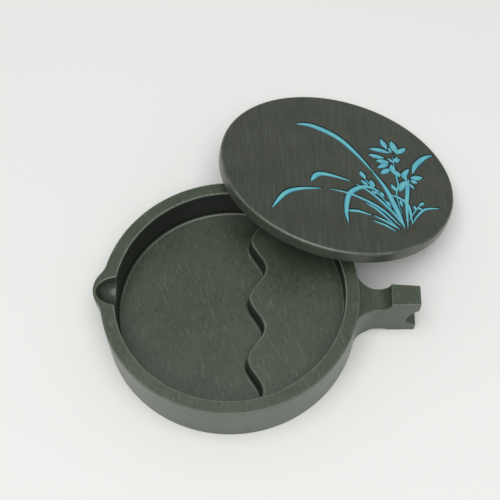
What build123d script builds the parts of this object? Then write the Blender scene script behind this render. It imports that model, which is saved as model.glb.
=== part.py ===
from build123d import *
import os
from math import acos, ceil, cos, pi, radians, sin, sqrt

os.makedirs("parts", exist_ok=True)

# An ink stone in two pieces: a carved dish, and its lid leaning on the rim beside it.
# The origin is the centre of the dish's flat base. The handle points along +X and the spout along -X.
# Driving dimensions in millimetres and degrees.

# Dish, a round block
dish_radius = 65.0
dish_height = 28.5
rim_width = 7.0
rim_arris_round = 0.6
base_arris_round = 0.5

# Well, and the grinding platform beside it with its wavy edge
well_floor_height = 9.0
well_foot_round = 1.6
well_corner_round = 2.5
platform_depth = 9.5
platform_foot_round = 1.0
wave_middle = 13.7
wave_swing = 4.0
wave_length = 33.8
wave_crest_side = 18.5
step_draft = 1.0
step_arris = 0.6

# Pouring spout, a lobe on the rim with a scooped channel
spout_overhang = 4.0
spout_lobe_radius = 13.0
spout_shoulder_radius = 20.0
spout_root_round = 6.0
spout_root_depth = 1.0
spout_flare_foot = 7.0
spout_flare_middle_drop = 8.5
spout_flare_middle_swell = 1.4
spout_lip_land = 0.8
channel_length = 11.2
channel_radius = 7.7
channel_lip = 1.8
channel_sideways = -1.2

# Neck and end block, with a saddle for the brush and a notch in the end, placed from the dish's wall and rim
handle_length = 30.5
handle_end_half_width = 5.5
neck_half_width = 6.3
neck_flare_radius = 13.0
saddle_root_inset = 2.5
saddle_root_drop = 2.7
saddle_low_offset = 8.9
saddle_depth = 6.5
saddle_end_radius = 7.0
arch_offset = 5.0
arch_length = 13.0
arch_height = 2.0
notch_upper_drop = 7.0
notch_swell_drop = 5.8
notch_swell_depth = 4.5
notch_apex_rise = 3.9
notch_depth = 5.8
notch_lower_height = 5.3
handle_arris_round = 0.6

# Lid, a disc with a locating boss beneath
lid_inset = 0.5
lid_thickness = 6.4
lid_top_round = 1.3
lid_foot_round = 0.5
boss_clearance = 1.5
boss_height = 2.8
boss_round = 0.6

# How the lid lies: its edge on the table, its under side on the dish's outer edge
lid_lean = 19.9
lid_heading = 55.0
lid_sideways = -2.1
lean_gap = 0.2

# How far the cutting shapes run past the stone, and how far the shoulders' arcs run into its round wall
overrun = 5.0
shoulder_bite = 0.4

# Places and heights that follow from the dish's radius, its height and its rim
rim_inner_radius = dish_radius - rim_width
platform_height = dish_height - platform_depth
spout_reach = dish_radius + spout_overhang
spout_flare_middle_height = dish_height - spout_flare_middle_drop
handle_end = dish_radius + handle_length
saddle_root_place = dish_radius - saddle_root_inset
saddle_root_height = dish_height - saddle_root_drop
saddle_low_place = dish_radius + saddle_low_offset
saddle_low_height = dish_height - saddle_depth
arch_start = dish_radius + arch_offset
arch_end = arch_start + arch_length
notch_upper_height = dish_height - notch_upper_drop
notch_swell_height = notch_upper_height - notch_swell_drop
notch_apex_height = notch_lower_height + notch_apex_rise
lid_radius = dish_radius - lid_inset
boss_radius = rim_inner_radius - boss_clearance

# Concave shoulders join the lobe and the handle to the round body. Each is tangent to its own side and
# to a circle a little inside the round wall, so its centre lies one shoulder radius outside both.
bite_radius = dish_radius - shoulder_bite
lobe_centre = spout_reach - spout_lobe_radius
shoulder_reach = bite_radius + spout_shoulder_radius
lobe_shoulder_reach = spout_lobe_radius + spout_shoulder_radius
shoulder_angle = acos(
    (shoulder_reach**2 + lobe_centre**2 - lobe_shoulder_reach**2) / (2 * shoulder_reach * lobe_centre)
)
shoulder_centre = Vector(-shoulder_reach * cos(shoulder_angle), shoulder_reach * sin(shoulder_angle))
lobe_middle = Vector(-lobe_centre, 0)
lobe_side = lobe_middle + (shoulder_centre - lobe_middle).normalized() * spout_lobe_radius
lobe_root = shoulder_centre.normalized() * bite_radius
flare_side = neck_half_width + neck_flare_radius
flare_place = sqrt((bite_radius + neck_flare_radius) ** 2 - flare_side**2)
handle_root = Vector(flare_place, flare_side).normalized() * bite_radius

# Spout lobe: its plan cut upright, then turned down to a flare that grows out of the wall towards the rim
with BuildPart() as lobe:
    with BuildSketch():
        with BuildLine():
            root_line = Line((-rim_inner_radius, 0), (-rim_inner_radius, lobe_root.Y))
            Line(root_line @ 1, lobe_root)
            shoulder = TangentArc(lobe_root, lobe_side, tangent=(-lobe_root.Y, lobe_root.X))
            TangentArc(lobe_side, (-spout_reach, 0), tangent=shoulder % 1)
            mirror(about=Plane.XZ)
        make_face()
    extrude(amount=dish_height)
    with BuildSketch(Plane.XZ):
        with BuildLine():
            flare_line = Spline(
                (spout_root_depth - dish_radius, spout_flare_foot),
                (-dish_radius - spout_flare_middle_swell, spout_flare_middle_height),
                (-spout_reach - spout_lip_land, dish_height),
            )
            Polyline(flare_line @ 1, (0, dish_height), (0, spout_flare_foot), flare_line @ 0)
        make_face()
    revolve(axis=Axis.Z, mode=Mode.INTERSECT)

# Handle: neck and end block in one upright cut, then saddle, arch and notch across it
with BuildPart() as handle:
    with BuildSketch():
        with BuildLine():
            end_line = Line((handle_end, 0), (handle_end, handle_end_half_width))
            side_line = Line(end_line @ 1, (flare_place, neck_half_width))
            TangentArc(side_line @ 1, handle_root, tangent=(-1, 0))
            inner_line = Line(handle_root, (rim_inner_radius, handle_root.Y))
            Line(inner_line @ 1, (rim_inner_radius, 0))
            mirror(about=Plane.XZ)
        make_face()
    extrude(amount=dish_height)

    # Saddle for the brush: a slow curve down from the rim's wall, and a tight one up the block's face
    saddle_arc_height = saddle_low_height + saddle_end_radius
    block_start = saddle_low_place + sqrt(saddle_end_radius**2 - (saddle_arc_height - dish_height) ** 2)
    with BuildSketch(Plane.XZ):
        with BuildLine():
            saddle_low = (saddle_low_place, saddle_low_height)
            near = TangentArc(saddle_low, (saddle_root_place, saddle_root_height), tangent=(-1, 0))
            far = TangentArc(saddle_low, (block_start, dish_height), tangent=(1, 0))
            Polyline(
                near @ 1,
                (rim_inner_radius - overrun, saddle_root_height),
                (rim_inner_radius - overrun, dish_height + overrun),
                (block_start, dish_height + overrun),
                far @ 1,
            )
        make_face()
    extrude(amount=dish_radius, both=True, mode=Mode.SUBTRACT)

    # Arch under the neck
    with BuildSketch(Plane.XZ):
        with BuildLine():
            arch = ThreePointArc((arch_start, 0), ((arch_start + arch_end) / 2, arch_height), (arch_end, 0))
            Polyline(arch @ 1, (arch_end, -overrun), (arch_start, -overrun), arch @ 0)
        make_face()
    extrude(amount=dish_radius, both=True, mode=Mode.SUBTRACT)

    # Notch across the block's end: hollow under the upper lip, straight down to the lower one
    with BuildSketch(Plane.XZ):
        with BuildLine():
            notch = ThreePointArc(
                (handle_end, notch_upper_height),
                (handle_end - notch_swell_depth, notch_swell_height),
                (handle_end - notch_depth, notch_apex_height),
            )
            Polyline(
                notch @ 1,
                (handle_end, notch_lower_height),
                (handle_end + overrun, notch_lower_height),
                (handle_end + overrun, notch_upper_height),
                notch @ 0,
            )
        make_face()
    extrude(amount=dish_radius, both=True, mode=Mode.SUBTRACT)

# Well: a round hollow, stopped on the handle's side by the wavy step. The step leans, its foot further out,
# its arris is bevelled, and the cut then goes straight up. The wave runs through its crests, troughs and
# the crossings between them.
quarter_wave = wave_length / 4
quarters = ceil((rim_inner_radius + overrun + wave_crest_side) / quarter_wave)
with BuildPart() as well_cut:
    with Locations((0, 0, well_floor_height)):
        Cylinder(rim_inner_radius, dish_height, align=(Align.CENTER, Align.CENTER, Align.MIN))
    step_sections = (
        (well_floor_height, -step_draft),
        (platform_height - step_arris, 0),
        (platform_height, step_arris),
        (dish_height + overrun, step_arris),
    )
    for height, shift in step_sections:
        with BuildSketch(Plane.XY.offset(height)):
            with BuildLine():
                wave = Spline(
                    [
                        (
                            wave_middle + shift + wave_swing * cos(step * pi / 2),
                            wave_crest_side + step * quarter_wave,
                        )
                        for step in range(-quarters, quarters + 1)
                    ]
                )
                Polyline(
                    wave @ 1,
                    (-dish_radius, (wave @ 1).Y),
                    (-dish_radius, (wave @ 0).Y),
                    wave @ 0,
                )
            make_face()
    loft(ruled=True, mode=Mode.INTERSECT)
    well_corners = well_cut.edges().filter_by(
        lambda edge: (edge @ 0).X > 0
        and (edge @ 0.5).Z < platform_height
        and abs((edge @ 0).Z - (edge @ 1).Z) > 2 * step_arris
    )
    fillet(well_corners, well_corner_round)
    fillet(well_cut.faces().sort_by(Axis.Z)[0].edges(), well_foot_round)

# Space over the platform and the well
with BuildPart() as platform_cut:
    with Locations((0, 0, platform_height)):
        Cylinder(rim_inner_radius, dish_height, align=(Align.CENTER, Align.CENTER, Align.MIN))
    fillet(platform_cut.edges().sort_by(Axis.Z)[0], platform_foot_round)

# Pouring channel, a scoop with a pointed oval nose that runs along X, a little off the spout's middle
quarter_turn = 90
with BuildPart() as channel_cut:
    with BuildSketch(Plane.XZ.offset(-channel_sideways)):
        with BuildLine():
            nose = EllipticalCenterArc(
                (channel_lip - spout_reach + channel_length, dish_height),
                channel_length,
                channel_radius,
                start_angle=2 * quarter_turn,
                arc_size=quarter_turn,
            )
            Polyline(
                nose @ 1,
                (overrun - rim_inner_radius, dish_height - channel_radius),
                (overrun - rim_inner_radius, dish_height),
                nose @ 0,
            )
        make_face()
    revolve(axis=Axis((0, channel_sideways, dish_height), (1, 0, 0)))


def reach(edge):
    # How far the edge's middle is from the dish's axis
    return Vector((edge @ 0.5).X, (edge @ 0.5).Y).length


# Dish: the solid block first, with its outer arrises rounded, then the hollows with theirs
with BuildPart() as ink_dish:
    Cylinder(dish_radius, dish_height, align=(Align.CENTER, Align.CENTER, Align.MIN))
    fillet(ink_dish.edges().sort_by(Axis.Z)[0], base_arris_round)
    add(handle.part)
    add(lobe.part)
    spout_roots = ink_dish.edges().filter_by(Axis.Z).filter_by(
        lambda edge: (edge @ 0).X < 0 and abs((edge @ 0).Y) > channel_radius
    )
    fillet(spout_roots.group_by(Axis.X)[-1], spout_root_round)

    # Handle's arrises, without the seams across the saddle and down the neck, or the notch's inner corner
    outside = ink_dish.edges().filter_by(
        lambda edge: (edge @ 0.5).X > 0
        and (edge @ 0.5).Z > arch_height
        and reach(edge) > dish_radius + shoulder_bite
    )
    neck_seams = outside.filter_by(GeomType.LINE).filter_by(
        lambda edge: (edge @ 0.5).X < block_start - handle_arris_round
    )
    notch_corner = outside.filter_by(GeomType.LINE).filter_by(
        lambda edge: abs((edge @ 0).X - handle_end + notch_depth) < handle_arris_round
        and abs((edge @ 1).X - handle_end + notch_depth) < handle_arris_round
    )
    fillet(outside - neck_seams - notch_corner, handle_arris_round)

    rim_top = ink_dish.faces().group_by(Axis.Z)[-1].sort_by(SortBy.AREA)[-1]
    fillet(rim_top.edges(), rim_arris_round)
    block_foot = ink_dish.faces().group_by(Axis.Z)[0].sort_by(SortBy.AREA)[0]
    fillet(block_foot.edges(), base_arris_round)

    add(well_cut.part, mode=Mode.SUBTRACT)
    add(platform_cut.part, mode=Mode.SUBTRACT)
    add(channel_cut.part, mode=Mode.SUBTRACT)
    rim_top = ink_dish.faces().group_by(Axis.Z)[-1].sort_by(SortBy.AREA)[-1]
    channel_mouth = ink_dish.edges().filter_by(GeomType.BSPLINE).filter_by(
        lambda edge: (edge @ 0.5).X < 0
        and (edge @ 0.5).Z > platform_height + platform_foot_round
        and reach(edge) < rim_inner_radius + channel_lip
    )
    fillet(rim_top.inner_wires()[0].edges() + channel_mouth, rim_arris_round)

# The lid's lowest point rests on the table: its rounded foot edge, or the boss's edge if that is lower.
# Its under side then touches the rim's rounded outer arris, less the gap, at the heading.
lean = radians(lid_lean)
heading = radians(lid_heading)
edge_drop = (lid_radius - lid_foot_round) * sin(lean) - lid_foot_round * cos(lean) + lid_foot_round
boss_drop = (boss_radius - boss_round) * sin(lean) + (boss_height - boss_round) * cos(lean) + boss_round
lid_centre_height = max(edge_drop, boss_drop)
arris_climb = dish_height - rim_arris_round - lid_centre_height
standoff = rim_arris_round + lean_gap + boss_height
lid_distance = dish_radius - rim_arris_round + (arris_climb * cos(lean) + standoff) / sin(lean)
lid_centre = Vector(
    lid_distance * cos(heading) - lid_sideways * sin(heading),
    lid_distance * sin(heading) + lid_sideways * cos(heading),
    lid_centre_height,
)
lid_up = Vector(sin(lean) * cos(heading), sin(lean) * sin(heading), cos(lean))
lid_plane = Plane(origin=lid_centre, x_dir=(-sin(heading), cos(heading), 0), z_dir=lid_up)
lid_axis = Axis(lid_centre, lid_up)

# Lid: a flat disc, and the boss beneath that drops inside the rim when the lid is on
with BuildPart() as lid:
    with BuildSketch(lid_plane):
        Circle(lid_radius)
    extrude(amount=lid_thickness)
    disc_edges = lid.edges().filter_by(GeomType.CIRCLE).sort_by(lid_axis)
    fillet(disc_edges[-1], lid_top_round)
    fillet(disc_edges[0], lid_foot_round)
    with BuildSketch(lid_plane):
        Circle(boss_radius)
    extrude(amount=-boss_height)
    boss_edge = lid.edges().filter_by(GeomType.CIRCLE).sort_by(lid_axis)[0]
    fillet(boss_edge, boss_round)

ink_dish.part.label = "ink_dish"
export_step(ink_dish.part, "parts/ink_dish.step")
lid.part.label = "lid"
export_step(lid.part, "parts/lid.step")
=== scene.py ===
import bpy
import numpy as np
from math import cos, pi, radians, sin
from mathutils import Matrix, Vector


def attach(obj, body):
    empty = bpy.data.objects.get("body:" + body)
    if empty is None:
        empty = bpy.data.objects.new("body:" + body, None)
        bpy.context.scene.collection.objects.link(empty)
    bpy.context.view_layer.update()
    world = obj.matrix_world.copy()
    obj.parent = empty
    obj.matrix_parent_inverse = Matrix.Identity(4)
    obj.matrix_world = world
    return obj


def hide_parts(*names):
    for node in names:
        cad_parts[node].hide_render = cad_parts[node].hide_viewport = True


# Ink stone: a dark green carved dish, and a lid with an engraved orchid painted blue, on a pale table.
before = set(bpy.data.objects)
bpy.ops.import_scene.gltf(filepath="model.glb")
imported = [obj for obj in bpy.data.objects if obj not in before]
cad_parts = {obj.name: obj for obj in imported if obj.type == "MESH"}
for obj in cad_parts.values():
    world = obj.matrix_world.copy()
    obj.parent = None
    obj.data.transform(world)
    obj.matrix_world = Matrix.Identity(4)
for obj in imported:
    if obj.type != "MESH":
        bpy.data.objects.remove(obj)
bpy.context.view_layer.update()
print("stone loaded:", ", ".join(sorted(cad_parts)))

mm = 0.001
imageSize = 500  # pixels along each side of the picture

# Camera, where the photograph was taken from: angles in degrees, lengths in millimetres, focal length in
# pixels, and its reach in metres
cameraPlace = {
    "azimuth": 2.3997,
    "elevation": 60.345,
    "roll": -0.848,
    "distance": 514.9,
    "right": 9.87,
    "up": 34.59,
    "focalPixels": 979.0,
    "sensorWidth": 36.0,
    "nearest": 0.01,
    "farthest": 20.0,
}


def cameraAxes(place):
    # right, up and backward directions of the camera, turned about its own line of sight by the roll
    a, e, r = (radians(place[k]) for k in ("azimuth", "elevation", "roll"))
    back = np.array([sin(a) * cos(e), -cos(a) * cos(e), sin(e)])
    level = np.array([cos(a), sin(a), 0.0])
    upright = np.cross(back, level)
    return cos(r) * level + sin(r) * upright, cos(r) * upright - sin(r) * level, back


camRight, camUp, camBack = cameraAxes(cameraPlace)
camSpot = mm * (
    cameraPlace["right"] * camRight + cameraPlace["up"] * camUp + cameraPlace["distance"] * camBack
)
camData = bpy.data.cameras.new("photoCamera")
camData.sensor_width = cameraPlace["sensorWidth"]
camData.lens = cameraPlace["focalPixels"] / imageSize * cameraPlace["sensorWidth"]
camData.clip_start = cameraPlace["nearest"]
camData.clip_end = cameraPlace["farthest"]
camera = bpy.data.objects.new("photoCamera", camData)
bpy.context.scene.collection.objects.link(camera)
turned = Matrix([list(row) for row in np.column_stack([camRight, camUp, camBack])]).to_4x4()
camera.matrix_world = Matrix.Translation(Vector(camSpot)) @ turned
bpy.context.scene.camera = camera


def readLid(lidObject):
    # the lid's own plane: its biggest flat face gives the slope, and its extents along it give the middle
    mesh = lidObject.data
    points = np.empty(len(mesh.vertices) * 3)
    mesh.vertices.foreach_get("co", points)
    points = points.reshape(-1, 3)
    areas = np.empty(len(mesh.polygons))
    mesh.polygons.foreach_get("area", areas)
    normals = np.empty(len(mesh.polygons) * 3)
    mesh.polygons.foreach_get("normal", normals)
    up = normals.reshape(-1, 3)[areas.argmax()]
    up = up * np.sign(up[2]) / np.linalg.norm(up)
    along = np.cross([0.0, 0.0, 1.0], up)
    along /= np.linalg.norm(along)
    climb = np.cross(up, along)
    spread = points @ np.column_stack([along, climb, up])
    low, high = spread.min(0), spread.max(0)
    middle = (low + high) / 2
    top = middle[0] * along + middle[1] * climb + high[2] * up
    return {"up": up, "along": along, "climb": climb, "top": top, "radius": (high[0] - low[0]) / 2}


lidPlane = readLid(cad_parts["lid"])
print("lid read, radius in mm:", round(lidPlane["radius"] / mm, 2))


def onLid(pixels):
    # where the line of sight through each pixel meets the lid's top, in the lid's own two directions
    pixels = np.asarray(pixels, float)
    shift = (pixels - imageSize / 2) / cameraPlace["focalPixels"]
    rays = shift[:, :1] * camRight - shift[:, 1:] * camUp - camBack
    reach = ((lidPlane["top"] - camSpot) @ lidPlane["up"]) / (rays @ lidPlane["up"])
    hits = camSpot + reach[:, None] * rays - lidPlane["top"]
    return np.column_stack([hits @ lidPlane["along"], hits @ lidPlane["climb"]])


def linear(red, green, blue):
    # a screen colour, 0 to 255, as the light that it stands for, by the usual screen curve
    c = np.array([red, green, blue]) / 255
    return (*np.where(c <= 0.04045, c / 12.92, ((c + 0.055) / 1.055) ** 2.4), 1.0)


def addNode(tree, kind, values=None, **settings):
    # a value that is a socket is linked, and any other is set on the input
    made = tree.nodes.new(kind)
    for name, value in settings.items():
        setattr(made, name, value)
    for socket, value in (values or {}).items():
        if isinstance(value, bpy.types.NodeSocket):
            tree.links.new(value, made.inputs[socket])
        else:
            made.inputs[socket].default_value = value
    return made


def mathNode(tree, operation, *values):
    return addNode(tree, "ShaderNodeMath", dict(enumerate(values)), operation=operation).outputs[0]


def rangeNode(tree, value, fromLow, fromHigh, toLow, toHigh):
    return addNode(
        tree,
        "ShaderNodeMapRange",
        {"Value": value, "From Min": fromLow, "From Max": fromHigh, "To Min": toLow, "To Max": toHigh},
    ).outputs["Result"]


def noiseNode(tree, vector, scale, detail=2.0, roughness=0.5, distortion=0.0):
    values = {"Vector": vector, "Scale": scale, "Detail": detail, "Roughness": roughness}
    values["Distortion"] = distortion
    return addNode(tree, "ShaderNodeTexNoise", values).outputs["Fac"]


def mixColours(tree, share, first, second):
    # sockets 6 and 7 of the node take its two colours, and output 2 gives the mixed one
    return addNode(
        tree, "ShaderNodeMix", {0: share, 6: first, 7: second}, data_type="RGBA"
    ).outputs[2]


# Stone: fine dark green slate, honed with a cloth, so it has a soft sheen and short straight rubbing marks
dishLook = {
    "deepColour": linear(49, 58, 45),
    "paleColour": linear(75, 86, 70),
    # pale colour of the scratches, and of the painted highlight along the edges
    "scratchAndHighlightColour": linear(150, 156, 140),
    # painted shade colour, for the steep inner walls, the spout's channel and the lid's grooves
    "paintedShadeColour": linear(9, 12, 9),
    "speckColour": linear(112, 120, 100),
    "cloudSize": 22 * mm,
    "cloudNoise": {"detail": 4.0, "roughness": 0.55},
    "grainSize": 0.4 * mm,
    "grainNoise": {"detail": 2.0, "roughness": 0.7},
    "speckSpacing": 2.6 * mm,
    "speckRange": (0.04, 0.10),
    "speckShare": 0.3,
    "markWidth": 0.5 * mm,
    "markLength": 3.8 * mm,
    "markNoise": {"detail": 3.0, "roughness": 0.6, "distortion": 0.2},
    "shares": {"cloud": 0.3, "mark": 0.5, "grain": 0.2},
    "toneRange": (0.365, 0.635),
    "scratchStretch": 0.5,
    "scratchShift": (3.1, 1.7, 0.4),
    "scratchDetail": 1.0,
    "scratchRange": (0.62, 0.70),
    "scratchShare": 0.10,
    "sheenRange": (0.3, 0.7),
    "roughRange": (0.27, 0.36),
    "grainBump": 0.3,
    "bumpDepth": 0.06 * mm,
    "bumpStrength": 0.35,
    "ior": 1.6,
}
lidLook = dict(
    dishLook,
    deepColour=linear(46, 52, 42),
    paleColour=linear(70, 76, 65),
    markLength=16 * mm,
    scratchShare=0.06,
    toneRange=(0.36, 0.64),
)

# Dish's edges, painted pale as a highlight along them, and painted shade on its steep inner walls and in
# its spout channel
dishForm = {
    "wallRadius": 58.0 * mm,
    "rimHeight": 28.5 * mm,
    "floorHeight": 9.0 * mm,
    "platformHeight": 18.8 * mm,
    "waveMiddle": 14.0 * mm,
    "waveSwing": 4.0 * mm,
    "waveLength": 33.8 * mm,
    "waveCrest": 18.5 * mm,
    "lineWidth": 0.32 * mm,
    "fadeWidth": 0.8 * mm,
    # shares of the painted highlight lines on the rim, at the wall's foot and on the step
    "rimShare": 0.5,
    "footShare": 0.3,
    "waveShare": 0.45,
    # painted highlight near corners, where the rounded direction parts from the true one
    "highlightWidth": 1.1 * mm,
    "highlightSamples": 6,
    "highlightRange": (0.998, 0.93),
    "highlightShare": 0.45,
    # painted shade on steep faces inside the hollow, and half of it in the spout's channel
    "wallFade": (0.05 * mm, 0.5 * mm),
    "steepRange": (0.45, 0.95),
    "paintedShadeShare": 0.96,
    "channelFrom": -50.0 * mm,
    "channelHeights": (20.0 * mm, 27.8 * mm),
    "channelUpright": (0.05, 0.3),
    "channelShadeShare": 0.45,
}
# Lid's top edge, painted pale as a highlight, and painted shade in the grooves of its engraving
lidForm = {
    # painted highlight along the lid's top edge
    "edgeInset": 0.45 * mm,
    "lineWidth": 0.35 * mm,
    "fadeWidth": 0.9 * mm,
    "edgeHighlightShare": 0.26,
    # painted shade in the engraved grooves
    "grooveRange": (-0.03 * mm, -0.12 * mm),
    "grooveBottom": (-1.2 * mm, -1.0 * mm),
    "grooveReach": (3.0 * mm, 2.0 * mm),
    "grooveShadeShare": 0.9,
}
# Both pieces' painted highlight lines along their edges are broken up by a slow noise, which lets at least
# this share of them through
brokenLook = {"size": 7 * mm, "detail": 3.0, "range": (0.35, 0.6), "leastShare": 0.35}


def edgeLine(tree, aside, above, share, form):
    # strongest on the edge itself, fading out with the distance made of the two gaps to it
    squares = [mathNode(tree, "MULTIPLY", gap, gap) for gap in (aside, above)]
    away = mathNode(tree, "SQRT", mathNode(tree, "ADD", *squares))
    return rangeNode(tree, away, form["lineWidth"], form["fadeWidth"], share, 0.0)


def brokenLine(tree, place, line):
    # slow noise along the edge scales the line between its least share and all of it
    broken = noiseNode(tree, place, 1 / brokenLook["size"], detail=brokenLook["detail"])
    kept = rangeNode(tree, broken, *brokenLook["range"], brokenLook["leastShare"], 1.0)
    return mathNode(tree, "MULTIPLY", line, kept)


def cornerHighlight(tree, form):
    # painted highlight: pale where the rounded direction parts from the true one, which is close to a
    # corner
    rounded = addNode(
        tree, "ShaderNodeBevel", {"Radius": form["highlightWidth"]}, samples=form["highlightSamples"]
    ).outputs[0]
    facing = addNode(tree, "ShaderNodeNewGeometry").outputs["True Normal"]
    meet = addNode(
        tree, "ShaderNodeVectorMath", {0: rounded, 1: facing}, operation="DOT_PRODUCT"
    ).outputs["Value"]
    return rangeNode(tree, meet, *form["highlightRange"], 0.0, form["highlightShare"])


def levelReach(tree, place):
    # distance from the upright axis through the origin
    level = addNode(
        tree, "ShaderNodeVectorMath", {0: place, 1: (1.0, 1.0, 0.0)}, operation="MULTIPLY"
    ).outputs[0]
    return addNode(tree, "ShaderNodeVectorMath", {0: level}, operation="LENGTH").outputs["Value"]


def dishEdges(tree, place):
    # painted shade makes the steep faces inside the hollow dark and the spout's channel half as dark, and a
    # painted highlight makes the edges pale; the step's edge is found by the formula of its wave, a cosine
    # along Y about the step's middle
    form = dishForm
    spot = addNode(tree, "ShaderNodeSeparateXYZ", {0: place}).outputs
    reach = levelReach(tree, place)
    fromWall = mathNode(tree, "SUBTRACT", reach, form["wallRadius"])
    along = mathNode(tree, "SUBTRACT", spot["Y"], form["waveCrest"])
    swing = mathNode(tree, "COSINE", mathNode(tree, "MULTIPLY", along, 2 * pi / form["waveLength"]))
    wave = mathNode(tree, "MULTIPLY_ADD", swing, form["waveSwing"], form["waveMiddle"])
    fromWave = mathNode(tree, "SUBTRACT", spot["X"], wave)
    heights = [
        mathNode(tree, "SUBTRACT", spot["Z"], form[name])
        for name in ("rimHeight", "floorHeight", "platformHeight")
    ]
    # painted highlight lines on the rim, at the wall's foot and along the step's edge
    rim = edgeLine(tree, fromWall, heights[0], form["rimShare"], form)
    foot = edgeLine(tree, fromWall, heights[1], form["footShare"], form)
    step = edgeLine(tree, fromWave, heights[2], form["waveShare"], form)
    lines = mathNode(tree, "MAXIMUM", mathNode(tree, "MAXIMUM", rim, foot), step)
    lines = brokenLine(tree, place, lines)
    # painted shade on steep faces inside the hollow
    facing = addNode(tree, "ShaderNodeTexCoord").outputs["Normal"]
    upright = addNode(tree, "ShaderNodeSeparateXYZ", {0: facing}).outputs["Z"]
    level = mathNode(tree, "ABSOLUTE", upright)
    steep = rangeNode(tree, level, *form["steepRange"], form["paintedShadeShare"], 0.0)
    inside = rangeNode(tree, fromWall, *form["wallFade"], 1.0, 0.0)
    paintedShade = mathNode(tree, "MULTIPLY", steep, inside)
    limits = [
        mathNode(tree, "LESS_THAN", spot["X"], form["channelFrom"]),
        mathNode(tree, "GREATER_THAN", spot["Z"], form["channelHeights"][0]),
        mathNode(tree, "LESS_THAN", spot["Z"], form["channelHeights"][1]),
    ]
    # painted shade in the spout's channel
    channel = rangeNode(tree, upright, *form["channelUpright"], 0.0, form["channelShadeShare"])
    for limit in limits:
        channel = mathNode(tree, "MULTIPLY", channel, limit)
    paintedShade = mathNode(tree, "MAXIMUM", paintedShade, channel)
    return paintedShade, mathNode(tree, "MAXIMUM", cornerHighlight(tree, form), lines)


def lidEdges(tree, place):
    # in the lid's own directions, from the middle of its top: the top edge gets a painted highlight and the
    # grooves painted shade
    form = lidForm
    middle = -(lidTurn.to_matrix() @ Vector(lidPlane["top"]))
    own = addNode(
        tree, "ShaderNodeMapping", {"Vector": place, "Rotation": lidTurn, "Location": middle}
    ).outputs[0]
    reach = levelReach(tree, own)
    height = addNode(tree, "ShaderNodeSeparateXYZ", {0: own}).outputs["Z"]
    aside = mathNode(tree, "SUBTRACT", reach, lidPlane["radius"] - form["edgeInset"])
    above = mathNode(tree, "ADD", height, form["edgeInset"])
    # painted highlight along the top edge
    topEdgeHighlight = brokenLine(tree, place, edgeLine(tree, aside, above, form["edgeHighlightShare"], form))
    # painted shade in the grooves
    low = rangeNode(tree, height, *form["grooveRange"], 0.0, form["grooveShadeShare"])
    high = rangeNode(tree, height, *form["grooveBottom"], 0.0, 1.0)
    near, far = (lidPlane["radius"] - inset for inset in form["grooveReach"])
    within = rangeNode(tree, reach, near, far, 1.0, 0.0)
    paintedShade = mathNode(tree, "MULTIPLY", mathNode(tree, "MULTIPLY", low, high), within)
    return paintedShade, topEdgeHighlight


def stoneMaterial(name, look, patternTurn, edges):
    # clouds, rubbing marks and grain add up to the tone, with specks, scratches, and the painted shade and
    # highlight of the edges over it
    mat = bpy.data.materials.new(name)
    mat.use_nodes = True
    tree = mat.node_tree
    tree.nodes.clear()
    place = addNode(tree, "ShaderNodeTexCoord").outputs["Object"]
    turn = addNode(
        tree, "ShaderNodeMapping", {"Vector": place, "Rotation": patternTurn}
    ).outputs[0]
    stretch = (1 / look["markWidth"], 1 / look["markLength"], 1 / look["markWidth"])
    stretched = addNode(
        tree, "ShaderNodeMapping", {"Vector": turn, "Scale": stretch}
    ).outputs[0]
    layers = {
        "cloud": noiseNode(tree, place, 1 / look["cloudSize"], **look["cloudNoise"]),
        "mark": noiseNode(tree, stretched, 1.0, **look["markNoise"]),
        "grain": noiseNode(tree, place, 1 / look["grainSize"], **look["grainNoise"]),
    }
    tone = 0.0
    for layer, pattern in layers.items():
        tone = mathNode(tree, "MULTIPLY_ADD", pattern, look["shares"][layer], tone)
    tone = rangeNode(tree, tone, *look["toneRange"], 0.0, 1.0)
    colour = mixColours(tree, tone, look["deepColour"], look["paleColour"])
    specks = addNode(
        tree, "ShaderNodeTexVoronoi", {"Vector": place, "Scale": 1 / look["speckSpacing"]}
    ).outputs["Distance"]
    specks = rangeNode(tree, specks, *look["speckRange"], look["speckShare"], 0.0)
    colour = mixColours(tree, specks, colour, look["speckColour"])
    longer = tuple(look["scratchStretch"] * s for s in stretch)
    scratches = addNode(
        tree,
        "ShaderNodeMapping",
        {"Vector": turn, "Scale": longer, "Location": look["scratchShift"]},
    ).outputs[0]
    scratches = noiseNode(tree, scratches, 1.0, detail=look["scratchDetail"])
    scratches = rangeNode(tree, scratches, *look["scratchRange"], 0.0, look["scratchShare"])
    colour = mixColours(tree, scratches, colour, look["scratchAndHighlightColour"])
    paintedShade, edgeHighlight = edges(tree, place)
    # painted shade, then the painted highlight, over the colour
    colour = mixColours(tree, paintedShade, colour, look["paintedShadeColour"])
    # painted highlight on the edges and corners
    colour = mixColours(tree, edgeHighlight, colour, look["scratchAndHighlightColour"])
    rough = rangeNode(tree, layers["mark"], *look["sheenRange"], *look["roughRange"])
    height = mathNode(tree, "MULTIPLY_ADD", layers["grain"], look["grainBump"], layers["mark"])
    bump = addNode(
        tree,
        "ShaderNodeBump",
        {"Strength": look["bumpStrength"], "Distance": look["bumpDepth"], "Height": height},
    ).outputs[0]
    shader = addNode(
        tree,
        "ShaderNodeBsdfPrincipled",
        {"Base Color": colour, "Roughness": rough, "IOR": look["ior"], "Normal": bump},
    )
    addNode(tree, "ShaderNodeOutputMaterial", {"Surface": shader.outputs[0]})
    return mat


def dressNode(node, material):
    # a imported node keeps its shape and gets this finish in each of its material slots
    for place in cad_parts[node].material_slots:
        place.material = material


floorMarkTurn = (0.0, 0.0, radians(-17))  # rubbing marks in the dish lean from its Y axis
dishStone = stoneMaterial("dishStone", dishLook, floorMarkTurn, dishEdges)
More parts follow.
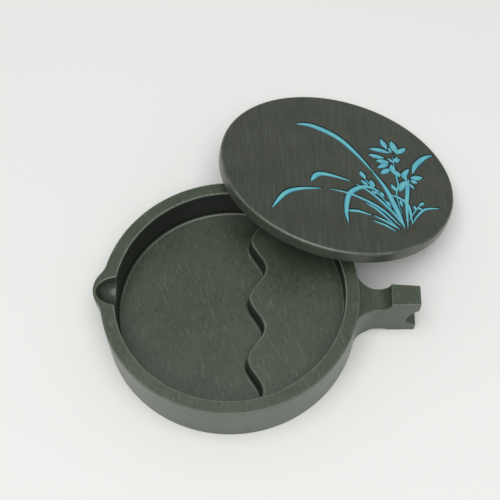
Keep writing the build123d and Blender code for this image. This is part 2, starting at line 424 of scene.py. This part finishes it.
# marks on the lid run up and down in the picture, so their direction is square to the camera's right
markDirection = np.cross(lidPlane["up"], camRight)
markDirection /= np.linalg.norm(markDirection)
markAside = np.cross(markDirection, lidPlane["up"])
lidTurn = Matrix([list(markAside), list(markDirection), list(lidPlane["up"])]).to_euler("XYZ")
lidStone = stoneMaterial("lidStone", lidLook, lidTurn, lidEdges)
dressNode("ink_dish", dishStone)
print("stone dressed")

# Orchid spray, in pixels of the photograph: each stroke has its widest width, the share of the way along
# it where that lies, and the points that it runs through, from its tip to its foot
spray = {
    "longLeafUpper": (
        4.8, 0.35, [(296.3, 123.2), (312.6, 125.5), (336.8, 136.7), (356.1, 153.2), (374.3, 172.8)]
    ),
    "longLeafLower": (4.2, 0.70, [(371.0, 169.0), (385.5, 187.5), (394.6, 204.4), (405.2, 227.5)]),
    "hookTip": (4.3, 0.30, [(311.2, 180.3), (317.8, 173.7), (329.3, 174.3), (351.1, 180.6)]),
    "hookFoot": (2.3, 0.55, [(355.4, 183.0), (371.5, 192.5), (391.1, 210.0), (403.8, 225.4)]),
    "lowTip": (3.7, 0.35, [(272.5, 206.5), (285.1, 192.7), (299.4, 188.1), (321.8, 187.7)]),
    "lowFoot": (2.4, 0.60, [(329.9, 188.2), (353.2, 194.2), (380.6, 207.9), (401.7, 226.1)]),
    "bowLeaf": (
        4.1, 0.55, [(348.7, 221.9), (346.6, 209.3), (350.4, 192.5), (365.2, 186.1), (380.6, 191.1)]
    ),
    "sideLeaf": (2.6, 0.30, [(347.6, 210.0), (358.9, 210.7), (372.2, 214.9)]),
    "sideFoot": (2.2, 0.60, [(373.6, 214.9), (386.9, 221.2), (400.3, 228.9)]),
    "shortLeaf": (1.9, 0.50, [(372.5, 219.8), (385.5, 224.7), (396.8, 231.1)]),
    "middleLeaf": (2.0, 0.60, [(365.5, 202.3), (378.5, 210.0), (398.2, 227.5)]),
    "budStem": (1.3, 0.50, [(362.5, 175.5), (371.5, 185.4), (382.7, 197.4), (392.0, 208.5)]),
    "crossLeaf": (2.8, 0.60, [(389.7, 193.9), (401.0, 198.4), (408.7, 205.8), (412.9, 223.3)]),
    "rightLeaf": (2.1, 0.35, [(439.9, 208.2), (426.2, 208.9), (417.8, 215.6), (412.5, 224.0)]),
    "highLeaf": (4.6, 0.55, [(432.2, 155.3), (424.1, 157.7), (415.7, 165.1), (412.5, 173.2)]),
    "flowerStem": (
        1.4, 0.50, [(392.5, 153.9), (394.6, 169.3), (398.2, 184.0), (396.8, 195.3), (402.4, 214.2)]
    ),
    "rightStem": (3.4, 0.35, [(408.7, 178.4), (407.6, 191.8), (406.9, 205.8), (408.3, 227.5)]),
    "sprigStem": (1.3, 0.50, [(423.5, 202.0), (417.1, 208.6), (408.7, 220.5)]),
    "petalA1": (4.8, 0.50, [(380.6, 138.8), (386.6, 148.6)]),
    "petalA2": (6.0, 0.50, [(390.8, 141.2), (396.3, 152.5)]),
    "petalA3": (4.7, 0.50, [(405.5, 147.9), (396.1, 153.5)]),
    "petalA4": (4.8, 0.45, [(369.4, 148.2), (380.0, 149.8), (389.7, 152.8)]),
    "petalA5": (4.7, 0.45, [(368.7, 154.2), (384.1, 157.7)]),
    "petalA6": (5.2, 0.50, [(376.4, 160.2), (389.0, 162.0)]),
    "petalA7": (4.3, 0.50, [(377.8, 167.2), (388.3, 163.7)]),
    "petalA8": (4.9, 0.50, [(381.3, 173.2), (389.7, 168.6)]),
    "petalA9": (4.9, 0.50, [(391.1, 164.4), (394.6, 173.8)]),
    "petalA10": (2.6, 0.50, [(388.0, 157.7), (393.2, 162.3)]),
    "petalA11": (2.4, 0.50, [(388.3, 147.5), (391.4, 152.6)]),
    "petalA12": (2.6, 0.50, [(397.6, 156.8), (393.6, 161.6)]),
    "petalA13": (2.8, 0.50, [(399.6, 158.8), (395.6, 162.2)]),
    "budA": (4.8, 0.50, [(396.0, 170.8), (399.6, 176.6)]),
    "petalB1": (4.6, 0.50, [(408.9, 168.6), (404.4, 174.6), (406.6, 180.0)]),
    "petalB2": (5.4, 0.50, [(422.4, 177.4), (410.8, 177.9)]),
    "petalB3": (3.8, 0.50, [(417.8, 182.8), (410.4, 180.2)]),
    "petalB4": (2.6, 0.50, [(414.3, 188.6), (410.0, 183.4)]),
    "petalB5": (5.3, 0.55, [(399.9, 190.9), (402.4, 185.4), (407.0, 180.4)]),
    "petalC1": (3.8, 0.50, [(391.5, 184.0), (396.6, 190.8)]),
    "budD1": (4.1, 0.50, [(360.0, 170.9), (365.6, 178.0)]),
    "budD2": (3.0, 0.50, [(361.0, 179.6), (368.0, 184.6)]),
    "budD3": (3.7, 0.50, [(370.4, 179.6), (374.6, 186.4)]),
    "budD4": (2.5, 0.50, [(371.8, 190.2), (377.6, 193.6)]),
    "budD5": (2.8, 0.50, [(380.4, 191.4), (384.3, 196.4)]),
    "budD6": (2.5, 0.50, [(387.0, 200.6), (390.6, 206.2)]),
    "budE1": (3.0, 0.50, [(424.4, 202.6), (419.6, 204.9)]),
    "budE2": (2.4, 0.50, [(422.8, 209.0), (418.2, 208.0)]),
    "budE3": (2.4, 0.50, [(414.2, 205.2), (415.8, 209.6)]),
    "budF": (2.4, 0.50, [(400.4, 199.8), (402.6, 206.2)]),
}
paintLook = {
    "blue": linear(78, 172, 204),
    "green": linear(120, 202, 196),
    "grooveShadeBlue": linear(30, 92, 128),
    # the strokes' edges are painted deep blue as shade from the groove's walls
    "rimRange": (0.5, 1.0),
    "rimShare": 0.85,
    "edgeHeight": -0.22 * mm,
    "dome": 0.14 * mm,
    "steps": 28,
    "bank": 0.92,
    "widthGain": 1.4,
    "tipShare": 0.12,
    "tipStep": 0.012,
    "swellPower": 0.8,
    "streakScale": (2.5, 2.2, 5.0),
    "streakDetail": 3.0,
    "grainSize": 0.6 * mm,
    "grainShare": 0.5,
    "toneRange": (0.55, 0.95),
    "bumpDepth": 0.05 * mm,
    "bumpStrength": 0.4,
    "roughness": 0.5,
}
grooveLook = {"gap": 0.4 * mm, "depth": 0.55 * mm, "depthStep": 0.002 * mm, "cutAbove": 1.0 * mm}


def smoothPath(points, shares):
    # curve through the points: each span blends the four points round it by cubics of the way along it,
    # so that it meets both its ends and runs there along the line between the points on either side
    points = np.asarray(points, float)
    ends = np.vstack([2 * points[0] - points[1], points, 2 * points[-1] - points[-2]])
    t = shares * (len(points) - 1)
    k = np.minimum(t.astype(int), len(points) - 2)
    f = (t - k)[:, None]
    a, b, c, d = (ends[k + i] for i in range(4))
    return 0.5 * (2 * b + (c - a) * f + (2 * a - 5 * b + 4 * c - d) * f**2 + (3 * b - a - 3 * c + d) * f**3)


lidPixels = [(360, 180), (361, 180)]  # side by side, near the middle of the orchid
pixelOnLid = np.linalg.norm(np.diff(onLid(lidPixels), axis=0))


def strokeRun(stroke, shares):
    # middle line, direction, its left and the half width, which swells as a sine from each end to its peak
    widest, peak, pixels = stroke
    path = smoothPath(onLid(pixels), shares)
    run = np.gradient(path, axis=0)
    run /= np.linalg.norm(run, axis=1)[:, None]
    left = np.column_stack([-run[:, 1], run[:, 0]])
    swell = np.where(shares < peak, shares / peak, (1 - shares) / (1 - peak))
    tip = paintLook["tipShare"]
    fullness = tip + (1 - tip) * np.sin(swell * pi / 2) ** paintLook["swellPower"]
    half = 0.5 * paintLook["widthGain"] * widest * pixelOnLid * fullness
    return path, run, left, half


def onTop(flat, height):
    # from the lid's own directions to the frame
    return (
        lidPlane["top"]
        + flat[..., :1] * lidPlane["along"]
        + flat[..., 1:] * lidPlane["climb"]
        + height[..., None] * lidPlane["up"]
    )


def gridFaces(rows, columns, start):
    # quads of a grid, which face up where its rows run on and its columns go from left to right
    i, j = np.meshgrid(np.arange(rows - 1), np.arange(columns - 1), indexing="ij")
    first = (start + i * columns + j).ravel()
    return np.column_stack([first, first + 1, first + columns + 1, first + columns])


def addPiece(name, points, faces, material=None):
    mesh = bpy.data.meshes.new(name)
    mesh.from_pydata(points.tolist(), [], [list(face) for face in faces])
    mesh.shade_smooth()
    piece = bpy.data.objects.new(name, mesh)
    bpy.context.scene.collection.objects.link(piece)
    if material:
        mesh.materials.append(material)
    return piece


def paintFill(look):
    # each stroke is a low cushion: banks rise from the groove's floor, and between them the height is the
    # edge's plus a dome that falls off with the square of the distance from the middle line
    bank = look["bank"]
    step = look["tipStep"]
    shares = np.concatenate([[0.0], np.linspace(step, 1 - step, look["steps"] - 2), [1.0]])
    across = np.array([1.0, bank, bank / 2, 0.0, -bank / 2, -bank, -1.0])
    inside = np.abs(across) <= bank
    height = look["edgeHeight"] + look["dome"] * (1 - (across / bank) ** 2)
    height = np.where(inside, height, -grooveLook["depth"])
    height = np.tile(height, (len(shares), 1))
    height[[0, -1]] = -grooveLook["depth"]
    points, faces, places, start = [], [], [], 0
    for number, stroke in enumerate(spray.values()):
        path, run, left, half = strokeRun(stroke, shares)
        flat = path[:, None, :] + across[None, :, None] * (half[:, None] * left)[:, None, :]
        points.append(onTop(flat, height).reshape(-1, 3))
        faces.append(gridFaces(*height.shape, start))
        t, s = np.meshgrid(shares, across, indexing="ij")
        places.append(np.column_stack([t.ravel(), s.ravel(), np.full(t.size, float(number))]))
        start += t.size
    return np.vstack(points), np.vstack(faces), np.vstack(places)


def paintMaterial(name, look):
    # the brush leaves streaks of pale green along each blue stroke; its edges are painted deep blue as the
    # shade of the groove's walls
    mat = bpy.data.materials.new(name)
    mat.use_nodes = True
    tree = mat.node_tree
    shader = tree.nodes["Principled BSDF"]
    place = addNode(tree, "ShaderNodeAttribute", attribute_name="strokePlace").outputs["Vector"]
    streaked = addNode(
        tree, "ShaderNodeMapping", {"Vector": place, "Scale": look["streakScale"]}
    ).outputs[0]
    streaks = noiseNode(tree, streaked, 1.0, detail=look["streakDetail"])
    spots = addNode(tree, "ShaderNodeTexCoord").outputs["Object"]
    grain = noiseNode(tree, spots, 1 / look["grainSize"])
    tone = mathNode(tree, "MULTIPLY_ADD", grain, look["grainShare"], streaks)
    tone = rangeNode(tree, tone, *look["toneRange"], 0.0, 1.0)
    colour = mixColours(tree, tone, look["blue"], look["green"])
    across = addNode(tree, "ShaderNodeSeparateXYZ", {0: place}).outputs["Y"]
    aside = mathNode(tree, "ABSOLUTE", across)
    # painted shade of the groove's walls on each stroke's edges
    rim = rangeNode(tree, aside, *look["rimRange"], 0.0, look["rimShare"])
    colour = mixColours(tree, rim, colour, look["grooveShadeBlue"])
    bump = addNode(
        tree,
        "ShaderNodeBump",
        {"Strength": look["bumpStrength"], "Distance": look["bumpDepth"], "Height": grain},
    ).outputs[0]
    tree.links.new(colour, shader.inputs["Base Color"])
    tree.links.new(bump, shader.inputs["Normal"])
    shader.inputs["Roughness"].default_value = look["roughness"]
    return mat


points, faces, places = paintFill(paintLook)
orchid = addPiece("orchidPaint", points, faces, paintMaterial("orchidBlue", paintLook))
strokePlace = orchid.data.attributes.new("strokePlace", "FLOAT_VECTOR", "POINT")
strokePlace.data.foreach_set("vector", places.ravel())
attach(orchid, "lid")
print("orchid painted:", len(spray), "strokes")

# Lid, a turned disc with its boss beneath; heights are measured down from its top
lidShape = {
    "allowance": 0.02 * mm,
    "thickness": 6.4 * mm,
    "topRound": 1.3 * mm,
    "footRound": 0.5 * mm,
    "bossRadius": 56.5 * mm,
    "bossHeight": 2.8 * mm,
    "bossRound": 0.6 * mm,
    "flatGuard": 0.8 * mm,
    "turnSteps": 288,
    "roundSteps": 6,
    "creaseAngle": 30,
}


def quarterRound(middle, radius, startAngle, steps):
    # quarter circle about its middle, anticlockwise from the start angle, as radius and height
    turn = radians(startAngle) + np.linspace(0, pi / 2, steps + 1)
    return np.column_stack([middle[0] + radius * np.cos(turn), middle[1] + radius * np.sin(turn)])


def turnedLid(shape, radius):
    # profile from the boss's middle out, up the rounded edge and in again, turned about the lid's axis
    under = -shape["thickness"]
    bottom = under - shape["bossHeight"]
    boss, foot, top, guard = (shape[k] for k in ("bossRound", "footRound", "topRound", "flatGuard"))
    bossEdge, steps = shape["bossRadius"], shape["roundSteps"]
    fromBelow, fromSide = 270, 0  # where each quarter circle starts, in degrees
    profile = np.vstack([
        [(bossEdge - boss - guard, bottom)],
        quarterRound((bossEdge - boss, bottom + boss), boss, fromBelow, steps),
        [(bossEdge, under), (radius - foot - guard, under)],
        quarterRound((radius - foot, under + foot), foot, fromBelow, steps),
        quarterRound((radius - top, -top), top, fromSide, steps),
        [(radius - top - guard, 0.0)],
    ])
    angle = np.linspace(0, 2 * pi, shape["turnSteps"], endpoint=False)
    ring = np.column_stack([np.cos(angle), np.sin(angle)])
    flat = profile[:, None, :1] * ring[None, :, :]
    height = np.repeat(profile[:, 1:], len(angle), axis=1)
    rows, columns = height.shape
    wall = onTop(flat, height).reshape(-1, 3)
    poles = onTop(np.zeros((2, 2)), np.array([bottom, 0.0]))
    i, j = np.meshgrid(np.arange(rows - 1), np.arange(columns), indexing="ij")
    near, far = (i * columns + j).ravel(), (i * columns + (j + 1) % columns).ravel()
    sides = np.column_stack([near, far, far + columns, near + columns])
    j = np.arange(columns)
    after = (j + 1) % columns
    edge = (rows - 1) * columns
    underFan = np.column_stack([np.full(columns, rows * columns), after, j])
    overFan = np.column_stack([np.full(columns, rows * columns + 1), edge + j, edge + after])
    return np.vstack([wall, poles]), [*sides.tolist(), *underFan.tolist(), *overFan.tolist()]


def grooveCutters(look):
    # closed prism over each stroke, a gap wider than its paint; each is a touch deeper than the one before
    shares = np.linspace(0, 1, paintLook["steps"])
    n = len(shares)
    i = np.arange(n - 1)
    lowLeft, lowRight, highLeft, highRight = i, i + n, i + 2 * n, i + 3 * n
    quads = np.vstack([
        np.column_stack([lowLeft, lowLeft + 1, lowRight + 1, lowRight]),
        np.column_stack([highLeft, highRight, highRight + 1, highLeft + 1]),
        np.column_stack([lowLeft, highLeft, highLeft + 1, lowLeft + 1]),
        np.column_stack([lowRight, lowRight + 1, highRight + 1, highRight]),
        [[0, n, 3 * n, 2 * n]],
        [[n - 1, 3 * n - 1, 4 * n - 1, 2 * n - 1]],
    ])
    points, faces = [], []
    for number, stroke in enumerate(spray.values()):
        path, run, left, half = strokeRun(stroke, shares)
        path[0] -= look["gap"] * run[0]
        path[-1] += look["gap"] * run[-1]
        aside = (half + look["gap"])[:, None] * left
        low = np.full(n, -look["depth"] - number * look["depthStep"])
        high = np.full(n, look["cutAbove"])
        corners = [onTop(path + way * aside, level) for level in (low, high) for way in (1, -1)]
        faces.append(quads + 4 * n * number)
        points.append(np.vstack(corners))
    return np.vstack(points), np.vstack(faces)


def engrave(piece, cutter):
    # the cutters are taken out of the disc, and the cut shape becomes the piece's own mesh
    cut = piece.modifiers.new("grooves", "BOOLEAN")
    cut.operation = "DIFFERENCE"
    cut.solver = "EXACT"
    cut.use_self = True
    cut.object = cutter
    shaped = bpy.data.meshes.new_from_object(piece.evaluated_get(bpy.context.evaluated_depsgraph_get()))
    piece.modifiers.clear()
    piece.data = shaped
    bpy.data.objects.remove(cutter)


lidRadius = lidPlane["radius"] - lidShape["allowance"]
stoneLid = addPiece("stoneLid", *turnedLid(lidShape, lidRadius), lidStone)
grooves = addPiece("grooves", *grooveCutters(grooveLook))
engrave(stoneLid, grooves)
stoneLid.data.shade_smooth()
stoneLid.data.set_sharp_from_angle(angle=radians(lidShape["creaseAngle"]))
evenNormals = stoneLid.modifiers.new("evenNormals", "WEIGHTED_NORMAL")
evenNormals.keep_sharp = True
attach(stoneLid, "lid")
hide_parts("lid")
print("lid engraved:", len(stoneLid.data.polygons), "faces")

# Table and light
studio = {
    "tableColour": linear(240, 241, 238),
    "tableRoughness": 0.8,
    "tableSize": 6.0,
    "skyColour": (1.0, 1.0, 1.0, 1.0),
    "skyStrength": 0.35,
    "lampSize": 1.5,
    "lampPower": 21.5,
    "lampSpot": (-0.05, -0.42, 1.54),
}


def makeTable(look):
    half = look["tableSize"] / 2
    corners = [(-half, -half, 0), (half, -half, 0), (half, half, 0), (-half, half, 0)]
    mesh = bpy.data.meshes.new("table")
    mesh.from_pydata(corners, [], [(0, 1, 2, 3)])
    table = bpy.data.objects.new("table", mesh)
    bpy.context.scene.collection.objects.link(table)
    mat = bpy.data.materials.new("tablePaper")
    mat.use_nodes = True
    shader = mat.node_tree.nodes["Principled BSDF"]
    shader.inputs["Base Color"].default_value = look["tableColour"]
    shader.inputs["Roughness"].default_value = look["tableRoughness"]
    mesh.materials.append(mat)


makeTable(studio)
world = bpy.data.worlds.new("softRoom")
bpy.context.scene.world = world
world.use_nodes = True
sky = world.node_tree.nodes["Background"]
sky.inputs["Color"].default_value = studio["skyColour"]
sky.inputs["Strength"].default_value = studio["skyStrength"]
lampData = bpy.data.lights.new("softBox", "AREA")
lampData.shape = "SQUARE"
lampData.size = studio["lampSize"]
lampData.energy = studio["lampPower"]
lamp = bpy.data.objects.new("softBox", lampData)
bpy.context.scene.collection.objects.link(lamp)
lamp.location = studio["lampSpot"]
lamp.rotation_euler = (-Vector(studio["lampSpot"])).to_track_quat("-Z", "Y").to_euler()
bpy.context.scene.view_settings.view_transform = "Standard"
print("lit")
